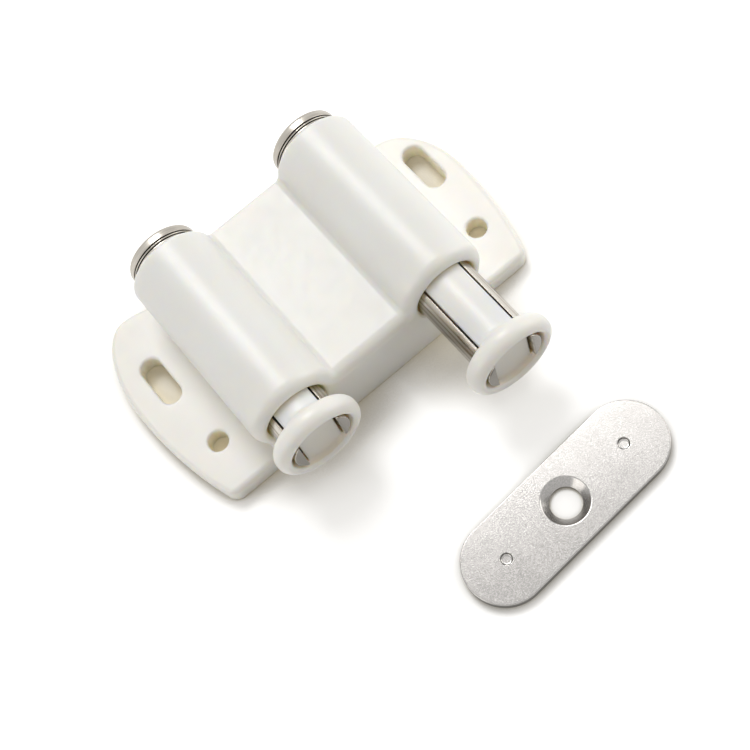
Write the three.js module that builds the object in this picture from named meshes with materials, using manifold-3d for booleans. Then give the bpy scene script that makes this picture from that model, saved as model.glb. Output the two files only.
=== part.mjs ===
// Double magnetic touch latch: a winged plastic housing with two spring plungers, and the loose strike plate.
// Millimetres, +Z up, origin at the middle of the housing's underside. The plungers come out towards -Y.
import * as THREE from "three";
import { mergeVertices } from "three/addons/utils/BufferGeometryUtils.js";
import Module from "manifold-3d";

// Driving dimensions of the base plate and its wings
const BASE_THICKNESS = 4;
const LEFT_WING_WIDTH = 13.7;
const LEFT_SIDE_BOW = 4.2;
const LEFT_CORNER_WIDTH = 8.4;
const LEFT_CORNER_DEPTH = 18.4;
const LEFT_REAR_STEP = 3.2;
const RIGHT_WING_WIDTH = 12.1;
const RIGHT_SIDE_BOW = 3.5;
const RIGHT_CORNER_WIDTH = 9.6;
const RIGHT_CORNER_DEPTH = 14.5;
const RIGHT_REAR_STEP = -1.6;
const FRONT_CORNER = 1.6;
const PLATE_EDGE_ROUND = 0.9;
const HOLE_DIAMETER = 3.9;
const HOLE_FROM_BARREL = 5.3;
const HOLE_FROM_FRONT = 10.3;
const SLOT_WIDTH = 4.2;
const SLOT_LENGTH = 10.6;
const SLOT_FROM_BARREL = 6.5;
const SLOT_FROM_REAR = 12.1;

// Driving dimensions of the block and the barrels
const BLOCK_HEIGHT = 14.9;
const BLOCK_FRONT_ROUND = 2;
const BLOCK_REAR_ROUND = 0.7;
const BARREL_SPACING = 33.7;
const BARREL_WALL = 1.75;
const BARREL_AXIS_HEIGHT = 14;
const BARREL_REAR_SETBACK = 0.7;
const BARREL_FRONT_ROUND = 2;
const BARREL_REAR_ROUND = 0.6;
const BARREL_FOOT_INSET = 1.65;
const MOUTH_CHAMFER = 0.7;
const LIP_STEP = 0.7;
const LIP_LENGTH = 4;
const RIB_THICKNESS = 1.6;
const WALL = 2.5;
const POCKET_ROWS = 4;

// Driving dimensions of the plungers
const STROKE = 11.2;
const OVERTRAVEL = 2.2;
const SHANK_DIAMETER = 11.8;
const STRIP_WIDTH = 7.2;
const POLE_GAP = 0.4;
const HEAD_OVERHANG = 2.85;
const HEAD_THICKNESS = 4.1;
const HEAD_FLARE = 1.1;
const HEAD_ROUND = 1.7;
const RIM_WIDTH = 2.25;
const RECESS_DEPTH = 1.5;
const POLE_SETBACK = 0.4;
const COLLAR_THICKNESS = 2;
const MAGNET_LENGTH = 8;
const MAGNET_HEIGHT = 7.5;
const MAGNET_FROM_RECESS = 1.2;
const SPIGOT_LENGTH = 4;
const SPIGOT_SIZE = 4.4;
const CAM_PIN_DIAMETER = 1.5;

// Driving dimensions of the heart track and the wire that follows it
const TAIL_THICKNESS = 4;
const TAIL_TOP = 1;
const TAIL_ROOM = 4.3;
const TRACK_DEPTH = 1.3;
const TRACK_WIDTH = 1.5;
const TRACK_SIDE = 2;
const TRACK_WALL = 0.45;
const TRACK_TURN = 3.7;
const NOTCH_FROM_COLLAR = 3.8;
const TRACK_END_MARGIN = 1.1;
const WIRE_DIAMETER = 0.9;
const WIRE_BEND = 0.7;

// Driving dimensions of the rear caps and the springs
const CAP_OVERHANG = 0.2;
const CAP_STAND = 3.8;
const CAP_PLUG_LENGTH = 5;
const CAP_WALL = 0.8;
const CAP_FLOOR_THICKNESS = 2.6;
const CAP_GROOVE_DEPTH = 0.6;
const CAP_GROOVE_WIDTH = 0.6;
const CAP_FLANGE = 1.3;
const CAP_ROUND = 0.9;
const BOSS_WIDTH = 2.4;
const BOSS_LENGTH = 2.5;
const SPRING_WIRE = 0.8;
const SPRING_TURNS = 10;

// Driving dimensions and place of the strike plate
const STRIKE_LENGTH = 44.8;
const STRIKE_WIDTH = 15.4;
const STRIKE_THICKNESS = 2;
const STRIKE_EDGE = 0.2;
const STRIKE_HOLE = 5.8;
const STRIKE_SINK_WIDTH = 1.45;
const STRIKE_DIMPLE = 2.3;
const STRIKE_DIMPLE_POINT = 0.8;
const STRIKE_DIMPLE_DEPTH = 0.5;
const STRIKE_DIMPLE_SPACING = 28.5;
const STRIKE_FROM_FRONT = 39.3;
const STRIKE_ASIDE = 8.5;
const STRIKE_TURN = THREE.MathUtils.degToRad(4.1);

// Clearances
const RUNNING_GAP = 0.2;
const SEAT_GAP = 0.2;
const STOP_GAP = 0.1;
const SHANK_GAP = 0.3;
const HEAD_GAP = 0.3;
const SPRING_GAP = 0.55;

// Fineness of round faces
const ROUND_SIDES = 48;
const HOLE_SIDES = 24;
const SMALL_SIDES = 16;
const ARC_STEPS = 10;
const EDGE_STEPS = 3;
const TRACK_STEPS = 8;
const WIRE_SIDES = 8;
const WIRE_STEPS = 64;
const CURL_STEPS = 8;
const CURL_SIDES = 5;
const CUT = 1;

// Round sizes, from the shank outwards
const SHANK_RADIUS = SHANK_DIAMETER / 2;
const LIP_RADIUS = SHANK_RADIUS + SHANK_GAP;
const BORE_RADIUS = LIP_RADIUS + LIP_STEP;
const BARREL_RADIUS = BORE_RADIUS + BARREL_WALL;
const PLUG_RADIUS = BORE_RADIUS - SEAT_GAP;
const CAP_RADIUS = BORE_RADIUS + CAP_OVERHANG;
const CUP_RADIUS = PLUG_RADIUS - CAP_WALL;
const SPRING_RADIUS = CUP_RADIUS - SPRING_GAP - SPRING_WIRE / 2;
const SPRING_INSIDE = SPRING_RADIUS - SPRING_WIRE / 2;
const HEAD_RADIUS = SHANK_RADIUS + HEAD_OVERHANG;
const RECESS_RADIUS = HEAD_RADIUS - RIM_WIDTH;

// Lengths along a barrel: the lip, the collar's stroke and the tail fill it up to the cap's floor
const TRACK_END = NOTCH_FROM_COLLAR + STROKE;
const TAIL_LENGTH = TRACK_END + TRACK_END_MARGIN;
const CAP_FLOOR_STAND = CAP_STAND - CAP_FLOOR_THICKNESS;
const COLLAR_TRAVEL = STROKE + OVERTRAVEL;
const TAIL_SPACE = COLLAR_THICKNESS + TAIL_LENGTH + TAIL_ROOM;
const BARREL_LENGTH = LIP_LENGTH + STOP_GAP + COLLAR_TRAVEL + TAIL_SPACE - CAP_FLOOR_STAND;
const BASE_DEPTH = BARREL_LENGTH + BARREL_REAR_SETBACK;
const BARREL_SIDE = BARREL_SPACING / 2 + BARREL_RADIUS;
const POLE_FLAT = STRIP_WIDTH / 2 + POLE_GAP;

// Places along Y
const FRONT = -BASE_DEPTH / 2;
const REAR = BASE_DEPTH / 2;
const BARREL_REAR = FRONT + BARREL_LENGTH;
const LIP_REAR = FRONT + LIP_LENGTH;
const CAP_FLOOR = BARREL_REAR + CAP_FLOOR_STAND;
const SHOULDER_LATCHED = FRONT - OVERTRAVEL - HEAD_GAP;
const SHOULDER_OUT = SHOULDER_LATCHED - STROKE;

// Places along a plunger, from its shoulder behind the head
const COLLAR_AT = LIP_REAR + STOP_GAP - SHOULDER_OUT;
const TAIL_AT = COLLAR_AT + COLLAR_THICKNESS;
const SHANK_LENGTH = COLLAR_AT - SEAT_GAP;
const HEAD_FRONT = -HEAD_THICKNESS - HEAD_FLARE;
const RECESS_FLOOR = HEAD_FRONT + RECESS_DEPTH;
const POLE_FROM = HEAD_FRONT + POLE_SETBACK;
const MAGNET_FROM = RECESS_FLOOR + MAGNET_FROM_RECESS;
const CAM_PIN_AT = COLLAR_AT - SPIGOT_LENGTH / 2;

// The wire's tip lies in the notch when the plunger is latched, and one stroke further along when it is out
const TIP_AT = SHOULDER_LATCHED + TAIL_AT + NOTCH_FROM_COLLAR;
const PIVOT_AT = CAP_FLOOR - BOSS_LENGTH / 2;
const WIRE_LENGTH = PIVOT_AT - TIP_AT;
const WIRE_HEIGHT = TAIL_TOP + RUNNING_GAP + WIRE_DIAMETER / 2;
const WIRE_SWING = TRACK_SIDE / WIRE_LENGTH;
const BOSS_LOW = WIRE_HEIGHT + WIRE_DIAMETER / 2 + RUNNING_GAP;
const BOSS_HIGH = Math.sqrt((SPRING_INSIDE - RUNNING_GAP) ** 2 - (BOSS_WIDTH / 2) ** 2);

const wasm = await Module();
wasm.setup();

// A closed geometry as a solid that can be joined and cut.
function solid(geometry) {
  const bare = geometry.index ? geometry.toNonIndexed() : geometry.clone();
  for (const name of ["normal", "uv"]) bare.deleteAttribute(name);
  const merged = mergeVertices(bare, 1e-4);
  return new wasm.Manifold(
    new wasm.Mesh({
      numProp: 3,
      vertProperties: new Float32Array(merged.attributes.position.array),
      triVerts: new Uint32Array(merged.index.array),
    }),
  );
}

// A solid back as a geometry with flat-shaded faces.
function geometryOf(body) {
  const mesh = body.getMesh();
  const geometry = new THREE.BufferGeometry();
  geometry.setAttribute("position", new THREE.BufferAttribute(mesh.vertProperties, 3));
  geometry.setIndex(new THREE.BufferAttribute(mesh.triVerts, 1));
  const flat = geometry.toNonIndexed();
  flat.computeVertexNormals();
  return flat;
}

function joined(...bodies) {
  return bodies.reduce((all, body) => all.add(body));
}

function without(body, ...cuts) {
  return cuts.reduce((left, cut) => left.subtract(cut), body);
}

function box(low, high) {
  const size = high.map((value, axis) => value - low[axis]);
  const geometry = new THREE.BoxGeometry(...size);
  geometry.translate(...low.map((value, axis) => value + size[axis] / 2));
  return solid(geometry);
}

// A solid of revolution about the Y axis, from [radius, y] points that start and end on the axis.
function turned(points, sides = ROUND_SIDES) {
  const profile = points.map(([radius, y]) => new THREE.Vector2(radius, y));
  return solid(new THREE.LatheGeometry(profile, sides));
}

function roundBarY(radius, from, to, sides = ROUND_SIDES) {
  const profile = [
    [0, from],
    [radius, from],
    [radius, to],
    [0, to],
  ];
  return turned(profile, sides);
}

function roundBarZ(radius, x, y, from, to, sides = SMALL_SIDES, topRadius = radius) {
  const geometry = new THREE.CylinderGeometry(topRadius, radius, to - from, sides);
  geometry.rotateX(Math.PI / 2);
  geometry.translate(x, y, (from + to) / 2);
  return solid(geometry);
}

// Points of a quarter round on a turned profile, from one [radius, y] to another about a centre.
function quarter(centre, radius, startAngle, endAngle, steps = 4) {
  return Array.from({ length: steps + 1 }, (_, step) => {
    const angle = startAngle + ((endAngle - startAngle) * step) / steps;
    return [centre[0] + radius * Math.cos(angle), centre[1] + radius * Math.sin(angle)];
  });
}

function extrudedZ(shape, from, to, steps = ARC_STEPS) {
  const options = { depth: to - from, bevelEnabled: false, curveSegments: steps };
  const geometry = new THREE.ExtrudeGeometry(shape, options);
  geometry.translate(0, 0, from);
  return solid(geometry);
}

// A plate standing on z = 0 whose upper edge is rounded and whose lower edge is sharp.
function roundedPlate(shape, thickness, round, steps) {
  const options = {
    depth: thickness,
    bevelEnabled: true,
    bevelThickness: round,
    bevelSize: round,
    bevelOffset: -round,
    bevelSegments: EDGE_STEPS,
    curveSegments: steps,
  };
  const geometry = new THREE.ExtrudeGeometry(shape, options);
  geometry.translate(0, 0, -round);
  const reach = 4 * (BARREL_SIDE + STRIKE_LENGTH);
  return without(solid(geometry), box([-reach, -reach, -2 * round - CUT], [reach, reach, 0]));
}

// A shape in the YZ plane carried along X.
function extrudedX(shape, from, to) {
  const options = { depth: to - from, bevelEnabled: false, curveSegments: ARC_STEPS };
  const geometry = new THREE.ExtrudeGeometry(shape, options);
  geometry.translate(0, 0, from);
  const turn = new THREE.Matrix4().makeBasis(
    new THREE.Vector3(0, 1, 0),
    new THREE.Vector3(0, 0, 1),
    new THREE.Vector3(1, 0, 0),
  );
  geometry.applyMatrix4(turn);
  return solid(geometry);
}

// The outline of a round-ended slot between two points.
function capsule(from, to, radius) {
  const along = Math.atan2(to[1] - from[1], to[0] - from[0]);
  const shape = new THREE.Shape();
  shape.absarc(to[0], to[1], radius, along - Math.PI / 2, along + Math.PI / 2, false);
  shape.absarc(from[0], from[1], radius, along + Math.PI / 2, along + (3 * Math.PI) / 2, false);
  shape.closePath();
  return shape;
}

function tubeAlong(path, radius, sides, steps) {
  const section = new THREE.Shape(
    Array.from({ length: sides }, (_, side) => {
      const angle = (2 * Math.PI * side) / sides;
      return new THREE.Vector2(radius * Math.cos(angle), radius * Math.sin(angle));
    }),
  );
  return solid(new THREE.ExtrudeGeometry(section, { extrudePath: path, steps, bevelEnabled: false }));
}

// The sizes of one wing's outline. The left wing is the larger and reaches further back.
function wing(width, bow, cornerWidth, cornerDepth, rearStep) {
  const half = BARREL_SIDE + width;
  const rearY = REAR + rearStep;
  const widestY = rearY - cornerDepth;
  const sideLength = widestY - FRONT;
  const radius = (bow ** 2 + sideLength ** 2) / (2 * bow);
  const cornerAngle = Math.asin((sideLength - FRONT_CORNER) / radius);
  const centre = half - radius;
  const cornerX = centre + radius * Math.cos(cornerAngle);
  const frontHalf = half - bow;
  const rearHalf = half - cornerWidth;
  return { frontHalf, rearHalf, rearY, widestY, radius, centre, cornerAngle, cornerX, cornerWidth, cornerDepth };
}

// The base plate's outline: bowed sides, rear corners drawn as ellipses, and a rear edge that sways between them.
function baseOutline() {
  const left = wing(LEFT_WING_WIDTH, LEFT_SIDE_BOW, LEFT_CORNER_WIDTH, LEFT_CORNER_DEPTH, LEFT_REAR_STEP);
  const right = wing(RIGHT_WING_WIDTH, RIGHT_SIDE_BOW, RIGHT_CORNER_WIDTH, RIGHT_CORNER_DEPTH, RIGHT_REAR_STEP);
  const swayFrom = BARREL_SPACING / 2;
  const leftThird = (left.rearHalf - swayFrom) / 3;
  const rightThird = (right.rearHalf - swayFrom) / 3;
  const shape = new THREE.Shape();
  shape.moveTo(FRONT_CORNER - left.frontHalf, FRONT);
  shape.lineTo(right.frontHalf - FRONT_CORNER, FRONT);
  shape.quadraticCurveTo(right.frontHalf, FRONT, right.cornerX, FRONT + FRONT_CORNER);
  shape.absarc(right.centre, right.widestY, right.radius, -right.cornerAngle, 0, false);
  const rightCorner = [right.rearHalf, right.widestY, right.cornerWidth, right.cornerDepth];
  shape.absellipse(...rightCorner, 0, Math.PI / 2, false);
  const rightSway = [right.rearHalf - rightThird, right.rearY, swayFrom + rightThird, REAR];
  shape.bezierCurveTo(...rightSway, swayFrom, REAR);
  shape.lineTo(-swayFrom, REAR);
  const leftSway = [-swayFrom - leftThird, REAR, leftThird - left.rearHalf, left.rearY];
  shape.bezierCurveTo(...leftSway, -left.rearHalf, left.rearY);
  const leftCorner = [-left.rearHalf, left.widestY, left.cornerWidth, left.cornerDepth];
  shape.absellipse(...leftCorner, Math.PI / 2, Math.PI, false);
  shape.absarc(-left.centre, left.widestY, left.radius, Math.PI, Math.PI + left.cornerAngle, false);
  shape.quadraticCurveTo(-left.frontHalf, FRONT, FRONT_CORNER - left.frontHalf, FRONT);
  return shape;
}

// The block between the barrels, with its upper front and rear edges rounded.
function block() {
  const frontY = FRONT + BLOCK_FRONT_ROUND;
  const rearY = BARREL_REAR - BLOCK_REAR_ROUND;
  const shape = new THREE.Shape();
  shape.moveTo(FRONT, 0);
  shape.lineTo(BARREL_REAR, 0);
  shape.absarc(rearY, BLOCK_HEIGHT - BLOCK_REAR_ROUND, BLOCK_REAR_ROUND, 0, Math.PI / 2, false);
  shape.absarc(frontY, BLOCK_HEIGHT - BLOCK_FRONT_ROUND, BLOCK_FRONT_ROUND, Math.PI / 2, Math.PI, false);
  shape.closePath();
  return extrudedX(shape, -BARREL_SPACING / 2, BARREL_SPACING / 2);
}

// One barrel about its own axis, with its foot on the base plate.
function barrel() {
  const frontRound = [BARREL_RADIUS - BARREL_FRONT_ROUND, FRONT + BARREL_FRONT_ROUND];
  const rearRound = [BARREL_RADIUS - BARREL_REAR_ROUND, BARREL_REAR - BARREL_REAR_ROUND];
  const tube = turned([
    [0, FRONT],
    ...quarter(frontRound, BARREL_FRONT_ROUND, -Math.PI / 2, 0),
    ...quarter(rearRound, BARREL_REAR_ROUND, 0, Math.PI / 2, EDGE_STEPS),
    [0, BARREL_REAR],
  ]);
  const footHalf = BARREL_RADIUS - BARREL_FOOT_INSET;
  const foot = box(
    [-footHalf, FRONT + BARREL_FRONT_ROUND, -BARREL_AXIS_HEIGHT],
    [footHalf, BARREL_REAR - BARREL_REAR_ROUND, 0],
  );
  return tube.add(foot);
}

// The stepped hole through one barrel: a chamfered mouth, a narrow lip, and the wide bore behind it.
function bore() {
  return turned([
    [0, FRONT - CUT],
    [LIP_RADIUS + MOUTH_CHAMFER + CUT, FRONT - CUT],
    [LIP_RADIUS, FRONT + MOUTH_CHAMFER],
    [LIP_RADIUS, LIP_REAR],
    [BORE_RADIUS, LIP_REAR],
    [BORE_RADIUS, BARREL_REAR + CUT],
    [0, BARREL_REAR + CUT],
  ]);
}

// Rows of open pockets under the block, with a rib on the centre line and between the rows.
function pockets() {
  const outer = BARREL_SPACING / 2 - BARREL_RADIUS - RIB_THICKNESS / 2;
  const span = BASE_DEPTH - 2 * WALL;
  const step = (span + RIB_THICKNESS) / POCKET_ROWS;
  const cuts = [];
  for (let row = 0; row < POCKET_ROWS; row++) {
    const low = FRONT + WALL + row * step;
    const high = low + step - RIB_THICKNESS;
    for (const side of [-1, 1]) {
      const edges = [(side * RIB_THICKNESS) / 2, side * outer].sort((a, b) => a - b);
      cuts.push(box([edges[0], low, -CUT], [edges[1], high, BLOCK_HEIGHT - WALL]));
    }
  }
  return cuts;
}

// The round screw hole and the slot of one wing.
function wingHoles(side) {
  const through = [-CUT, BASE_THICKNESS + CUT];
  const holeX = side * (BARREL_SIDE + HOLE_FROM_BARREL);
  const hole = roundBarZ(HOLE_DIAMETER / 2, holeX, FRONT + HOLE_FROM_FRONT, ...through, HOLE_SIDES);
  const slotX = side * (BARREL_SIDE + SLOT_FROM_BARREL);
  const slotY = REAR - SLOT_FROM_REAR;
  const reach = (SLOT_LENGTH - SLOT_WIDTH) / 2;
  const outline = capsule([slotX, slotY - reach], [slotX, slotY + reach], SLOT_WIDTH / 2);
  return [hole, extrudedZ(outline, ...through)];
}

function housing() {
  const plate = roundedPlate(baseOutline(), BASE_THICKNESS, PLATE_EDGE_ROUND, ARC_STEPS);
  const places = [-1, 1].map((side) => [(side * BARREL_SPACING) / 2, 0, BARREL_AXIS_HEIGHT]);
  const body = joined(plate, block(), ...places.map((place) => barrel().translate(place)));
  const bores = places.map((place) => bore().translate(place));
  return without(body, ...bores, ...wingHoles(-1), ...wingHoles(1), ...pockets());
}

// The bar between a flat and a round side, as both pole plates are and as their slots are cut.
function poleBar(flatAt, radius, from, to) {
  const keep = box([flatAt, from - CUT, -radius - CUT], [radius + CUT, to + CUT, radius + CUT]);
  return roundBarY(radius, from, to).intersect(keep);
}

function polePlate() {
  return poleBar(POLE_FLAT, SHANK_RADIUS, POLE_FROM, SHANK_LENGTH);
}

function magnet() {
  const halfWidth = POLE_FLAT - SEAT_GAP / 2;
  const from = MAGNET_FROM + SEAT_GAP;
  return box([-halfWidth, from, -MAGNET_HEIGHT / 2], [halfWidth, from + MAGNET_LENGTH, MAGNET_HEIGHT / 2]);
}

// Head, flare and flat-sided strip in one moulding, cut for the poles, the magnet and the cam.
function plungerSleeve() {
  const rimMiddle = HEAD_RADIUS - HEAD_ROUND;
  const body = turned([
    [0, HEAD_FRONT],
    ...quarter([rimMiddle, HEAD_FRONT + HEAD_ROUND], HEAD_ROUND, -Math.PI / 2, 0),
    ...quarter([rimMiddle, -HEAD_FLARE - HEAD_ROUND], HEAD_ROUND, 0, Math.PI / 2),
    ...quarter([SHANK_RADIUS + HEAD_FLARE, 0], HEAD_FLARE, -Math.PI / 2, -Math.PI),
    [SHANK_RADIUS, SHANK_LENGTH],
    [0, SHANK_LENGTH],
  ]);
  const recess = roundBarY(RECESS_RADIUS, HEAD_FRONT - CUT, RECESS_FLOOR);
  const slot = poleBar(STRIP_WIDTH / 2, SHANK_RADIUS + RUNNING_GAP, HEAD_FRONT - CUT, SHANK_LENGTH + CUT);
  const windowHalf = MAGNET_HEIGHT / 2 + SEAT_GAP;
  const window = box(
    [-STRIP_WIDTH, MAGNET_FROM, -windowHalf],
    [STRIP_WIDTH, MAGNET_FROM + MAGNET_LENGTH + 2 * SEAT_GAP, windowHalf],
  );
  const socketHalf = SPIGOT_SIZE / 2 + SEAT_GAP;
  const socket = box(
    [-socketHalf, SHANK_LENGTH - SPIGOT_LENGTH - SEAT_GAP, -socketHalf],
    [socketHalf, SHANK_LENGTH + CUT, socketHalf],
  );
  return without(body, recess, slot, slot.rotate([0, 180, 0]), window, socket, camPinHole());
}

function camPinHole() {
  const reach = SHANK_RADIUS + CUT;
  return roundBarZ(CAM_PIN_DIAMETER / 2 + SEAT_GAP / 2, 0, CAM_PIN_AT, -reach, reach);
}

function camPin() {
  const reach = SHANK_RADIUS - RUNNING_GAP;
  return roundBarZ(CAM_PIN_DIAMETER / 2, 0, CAM_PIN_AT, -reach, reach);
}

// The track in the tail: the way out is straight, the way in runs along the other side of the island.
function heartTrack() {
  const lean = TRACK_SIDE / STROKE;
  const deepest = [-OVERTRAVEL * lean, TAIL_AT + NOTCH_FROM_COLLAR - OVERTRAVEL];
  const outermost = [TRACK_SIDE, TAIL_AT + TRACK_END];
  const stops = [
    deepest,
    outermost,
    [-TRACK_SIDE, TAIL_AT + TRACK_END - TRACK_TURN],
    [-TRACK_SIDE, TAIL_AT + NOTCH_FROM_COLLAR],
    deepest,
  ];
  const stretches = stops.slice(1).map((stop, index) => capsule(stops[index], stop, TRACK_WIDTH / 2));
  const floor = TAIL_TOP - TRACK_DEPTH;
  return joined(...stretches.map((shape) => extrudedZ(shape, floor, TAIL_TOP + CUT, TRACK_STEPS)));
}

// The collar that stops behind the lip, the spigot into the sleeve, and the tail that runs inside the spring.
function latchCam() {
  const collar = roundBarY(BORE_RADIUS - RUNNING_GAP, COLLAR_AT, TAIL_AT);
  const half = SPIGOT_SIZE / 2;
  const spigot = box([-half, COLLAR_AT - SPIGOT_LENGTH, -half], [half, COLLAR_AT + CUT, half]);
  const tailHalf = TRACK_SIDE + TRACK_WIDTH / 2 + TRACK_WALL;
  const tailEnd = TAIL_AT + TAIL_LENGTH;
  const bar = box([-tailHalf, TAIL_AT - CUT, TAIL_TOP - TAIL_THICKNESS], [tailHalf, tailEnd, TAIL_TOP]);
  const tail = bar.intersect(roundBarY(SPRING_INSIDE - RUNNING_GAP, TAIL_AT - 2 * CUT, tailEnd + CUT));
  return without(joined(collar, spigot, tail), heartTrack(), camPinHole());
}

// The wire about its pivot: a leg up into the cap's boss, the arm forward, and the tip down into the track.
function latchWire() {
  const leg = new THREE.Vector3(0, 0, BOSS_HIGH - WIRE_HEIGHT);
  const heel = new THREE.Vector3(0, 0, 0);
  const toe = new THREE.Vector3(0, -WIRE_LENGTH, 0);
  const tip = new THREE.Vector3(0, -WIRE_LENGTH, -WIRE_DIAMETER / 2 - TRACK_DEPTH);
  const back = new THREE.Vector3(0, WIRE_BEND, 0);
  const up = new THREE.Vector3(0, 0, WIRE_BEND);
  const path = new THREE.CurvePath();
  path.add(new THREE.LineCurve3(leg, heel.clone().add(up)));
  path.add(new THREE.QuadraticBezierCurve3(heel.clone().add(up), heel, heel.clone().sub(back)));
  path.add(new THREE.LineCurve3(heel.clone().sub(back), toe.clone().add(back)));
  path.add(new THREE.QuadraticBezierCurve3(toe.clone().add(back), toe, toe.clone().sub(up)));
  path.add(new THREE.LineCurve3(toe.clone().sub(up), tip));
  return tubeAlong(path, WIRE_DIAMETER / 2, WIRE_SIDES, WIRE_STEPS);
}

// A plated cup pressed into the barrel's rear end, with two rounded rings outside and the wire's boss inside.
function rearCap() {
  const plugFrom = BARREL_REAR - CAP_PLUG_LENGTH;
  const flangeFrom = BARREL_REAR + SEAT_GAP;
  const flangeTo = flangeFrom + CAP_FLANGE;
  const grooveRadius = CAP_RADIUS - CAP_GROOVE_DEPTH;
  const bulgeRadius = (CAP_RADIUS + grooveRadius) / 2;
  const end = BARREL_REAR + CAP_STAND;
  const cup = turned([
    [0, plugFrom],
    [PLUG_RADIUS, plugFrom],
    [PLUG_RADIUS, flangeFrom],
    [bulgeRadius, flangeFrom],
    [CAP_RADIUS, (flangeFrom + flangeTo) / 2],
    [bulgeRadius, flangeTo],
    [grooveRadius, flangeTo],
    [grooveRadius, flangeTo + CAP_GROOVE_WIDTH],
    ...quarter([CAP_RADIUS - CAP_ROUND, end - CAP_ROUND], CAP_ROUND, 0, Math.PI / 2),
    [0, end],
  ]);
  const hollow = roundBarY(CUP_RADIUS, plugFrom - CUT, CAP_FLOOR);
  const bossHalf = BOSS_WIDTH / 2;
  const boss = box([-bossHalf, CAP_FLOOR - BOSS_LENGTH, BOSS_LOW], [bossHalf, CAP_FLOOR + CUT, BOSS_HIGH]);
  const legHole = roundBarZ(WIRE_DIAMETER / 2 + RUNNING_GAP, 0, PIVOT_AT, BOSS_LOW - CUT, BOSS_HIGH + CUT);
  return without(cup.subtract(hollow).add(boss), legHole);
}

class Helix extends THREE.Curve {
  constructor(radius, from, to, turns) {
    super();
    Object.assign(this, { radius, from, to, turns });
  }

  getPoint(t, target = new THREE.Vector3()) {
    const angle = 2 * Math.PI * this.turns * t;
    const along = this.from + (this.to - this.from) * t;
    return target.set(this.radius * Math.cos(angle), along, this.radius * Math.sin(angle));
  }
}

// The least gap between curls that lie half a turn or more apart along the wire.
function curlGap(path, turns) {
  const points = path.getSpacedPoints(turns * 2 * CURL_STEPS);
  let least = Infinity;
  points.forEach((point, index) => {
    for (const other of points.slice(index + CURL_STEPS)) least = Math.min(least, point.distanceTo(other));
  });
  return least - SPRING_WIRE;
}

function returnSpring(shoulder, label) {
  const room = SPRING_WIRE / 2 + SEAT_GAP;
  const path = new Helix(SPRING_RADIUS, shoulder + TAIL_AT + room, CAP_FLOOR - room, SPRING_TURNS);
  console.log(`${label}: least gap between curls ${curlGap(path, SPRING_TURNS).toFixed(2)} mm`);
  return tubeAlong(path, SPRING_WIRE / 2, CURL_SIDES, SPRING_TURNS * CURL_STEPS);
}

// The strike plate about its own centre, standing on z = 0. Its sinks carry on above the face, for a clean cut.
function strikePlate() {
  const endRadius = STRIKE_WIDTH / 2;
  const reach = STRIKE_LENGTH / 2 - endRadius;
  const outline = capsule([-reach, 0], [reach, 0], endRadius);
  const above = STRIKE_THICKNESS + CUT;
  const holeRadius = STRIKE_HOLE / 2;
  const sinkFrom = STRIKE_THICKNESS - STRIKE_SINK_WIDTH;
  const sinkTop = holeRadius + STRIKE_SINK_WIDTH + CUT;
  const cuts = [
    roundBarZ(holeRadius, 0, 0, -CUT, above, ROUND_SIDES),
    roundBarZ(holeRadius, 0, 0, sinkFrom, above, ROUND_SIDES, sinkTop),
  ];
  const pointRadius = STRIKE_DIMPLE_POINT / 2;
  const flare = (STRIKE_DIMPLE / 2 - pointRadius) / STRIKE_DIMPLE_DEPTH;
  const dimpleFloor = STRIKE_THICKNESS - STRIKE_DIMPLE_DEPTH;
  const dimpleTop = STRIKE_DIMPLE / 2 + flare * CUT;
  for (const side of [-1, 1]) {
    const x = (side * STRIKE_DIMPLE_SPACING) / 2;
    cuts.push(roundBarZ(pointRadius, x, 0, dimpleFloor, above, SMALL_SIDES, dimpleTop));
  }
  return without(roundedPlate(outline, STRIKE_THICKNESS, STRIKE_EDGE, 2 * ARC_STEPS), ...cuts);
}

const materials = {
  ivory: new THREE.MeshStandardMaterial({ color: 0xeeece4, roughness: 0.42, metalness: 0 }),
  white: new THREE.MeshStandardMaterial({ color: 0xf1f2f1, roughness: 0.38, metalness: 0 }),
  nickel: new THREE.MeshStandardMaterial({ color: 0xc9c4bc, roughness: 0.22, metalness: 1 }),
  satin: new THREE.MeshStandardMaterial({ color: 0xc4c1bc, roughness: 0.38, metalness: 1 }),
  spring: new THREE.MeshStandardMaterial({ color: 0x9a9a9c, roughness: 0.3, metalness: 1 }),
  magnet: new THREE.MeshStandardMaterial({ color: 0x3a3a3c, roughness: 0.6, metalness: 0.4 }),
};

function named(name, body, material) {
  const mesh = new THREE.Mesh(geometryOf(body), material);
  mesh.name = name;
  return mesh;
}

// One plunger with everything that slides with it, about its shoulder.
function plunger(label, shoulder) {
  const group = new THREE.Group();
  group.position.y = shoulder;
  for (const where of ["inner", "outer"]) {
    const plate = named(`pole_plate_${where}_${label}`, polePlate(), materials.nickel);
    const towardsRight = (where === "inner") === (label === "left");
    plate.rotation.y = towardsRight ? 0 : Math.PI;
    group.add(plate);
  }
  group.add(
    named(`plunger_sleeve_${label}`, plungerSleeve(), materials.white),
    named(`magnet_${label}`, magnet(), materials.magnet),
    named(`latch_cam_${label}`, latchCam(), materials.white),
    named(`cam_pin_${label}`, camPin(), materials.spring),
  );
  return group;
}

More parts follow.
